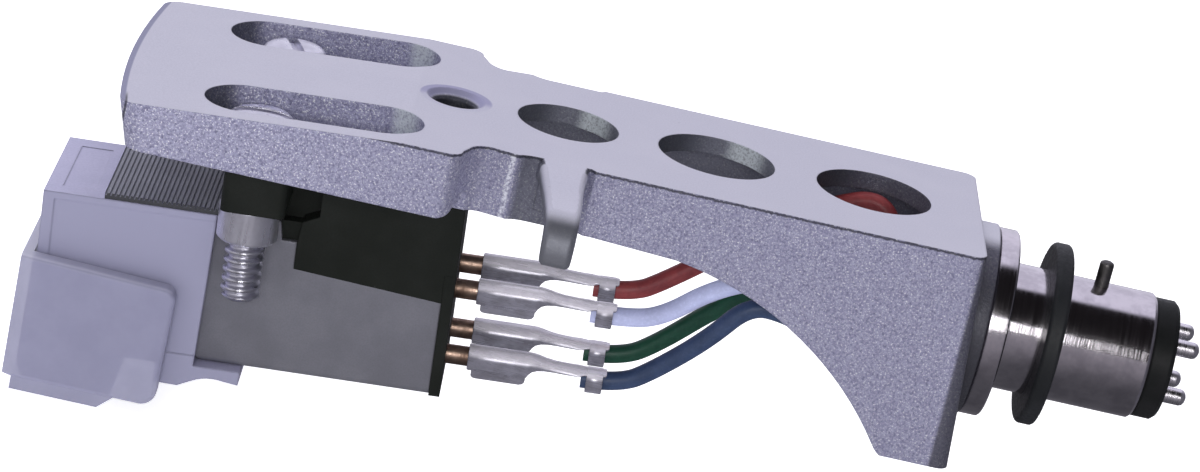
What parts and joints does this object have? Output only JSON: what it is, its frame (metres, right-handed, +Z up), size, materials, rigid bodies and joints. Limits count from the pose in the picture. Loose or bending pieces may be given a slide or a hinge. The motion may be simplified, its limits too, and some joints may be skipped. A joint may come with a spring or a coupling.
{
  "type": "phono cartridge in headshell",
  "caption": "Moving-magnet phono cartridge with stylus and guard, screwed under a cast headshell with finger lift, coloured leads and a bayonet plug.",
  "frame": {"origin": "on the plug's axis, at the outer face of the rubber washer, where the tonearm's socket seats", "axes": "+X along the plug's axis, out of the plug towards the tonearm; +Z up, away from the record; the stylus end points along -X"},
  "size_m": [0.0726, 0.0286, 0.023],
  "materials": {
    "cast_silver": "fine cast, satin",
    "plated_barrel": "polished",
    "black_rubber": "matt",
    "black_plastic": "fine matt moulding",
    "dark_rib": "ribbed, satin",
    "gold_contact": "plated",
    "bright_steel": "turned",
    "grey_shield": "satin grey paint",
    "copper_pin": "plated",
    "pole_steel": "stamped laminations",
    "enamel_wire": "enamelled winding",
    "white_plastic": "satin moulding",
    "clear_plastic": "slightly frosted",
    "thin_alloy": "drawn tube",
    "magnet_grey": "ground",
    "diamond": "polished",
    "damper_rubber": "matt",
    "gold_clip": "plated, crimped",
    "red_insulation": "satin",
    "white_insulation": "satin",
    "green_insulation": "satin",
    "blue_insulation": "satin"
  },
  "bodies": {
    "headshell_unit": {"headshell": "cast_silver", "plug_barrel": "plated_barrel", "locating_pin": "bright_steel", "rubber_washer": "black_rubber", "contact_block": "black_plastic", "contact_pin_red": "gold_contact", "contact_pin_white": "gold_contact", "contact_pin_green": "gold_contact", "contact_pin_blue": "gold_contact", "shield_can": "grey_shield", "terminal_plate": "black_plastic", "terminal_pin_red": "copper_pin", "terminal_pin_white": "copper_pin", "terminal_pin_green": "copper_pin", "terminal_pin_blue": "copper_pin", "mounting_screws": "bright_steel", "mounting_nuts": "bright_steel", "pole_piece_left": "pole_steel", "coils_left": "enamel_wire", "pole_piece_right": "pole_steel", "coils_right": "enamel_wire", "cartridge_body": "black_plastic", "lead_clip_red": "gold_clip", "lead_clip_white": "gold_clip", "lead_clip_green": "gold_clip", "lead_clip_blue": "gold_clip", "lead_red": "red_insulation", "lead_white": "white_insulation", "lead_green": "green_insulation", "lead_blue": "blue_insulation"},
    "stylus_unit": {"stylus_holder": "white_plastic", "ribbed_nose_plate": "dark_rib", "stylus_tube": "thin_alloy", "damper": "damper_rubber", "suspension_wire": "bright_steel"},
    "pivot": {"pivot_sleeve": "gold_contact"},
    "cantilever_unit": {"cantilever": "thin_alloy", "magnet": "magnet_grey", "stylus_tip": "diamond"},
    "guard": {"stylus_guard": "clear_plastic"}
  },
  "joints": [
    {"name": "stylus_pull", "type": "slide", "parent": "headshell_unit", "child": "stylus_unit", "axis": [-0.9107, 0, -0.4131], "range_m": [0, 0.012]},
    {"name": "guard_pull", "type": "slide", "parent": "stylus_unit", "child": "guard", "axis": [-1, 0, 0], "range_m": [0, 0.015]},
    {"name": "cantilever_pitch", "type": "hinge", "parent": "stylus_unit", "child": "pivot", "pos_m": [-0.05401, 0, -0.01138], "axis": [0, 1, 0], "range_deg": [-2, 2], "stiffness_Nm_per_rad": 0.005},
    {"name": "cantilever_yaw", "type": "hinge", "parent": "pivot", "child": "cantilever_unit", "pos_m": [-0.05401, 0, -0.01138], "axis": [0.4131, 0, -0.9107], "range_deg": [-1.5, 1.5], "stiffness_Nm_per_rad": 0.005}
  ]
}
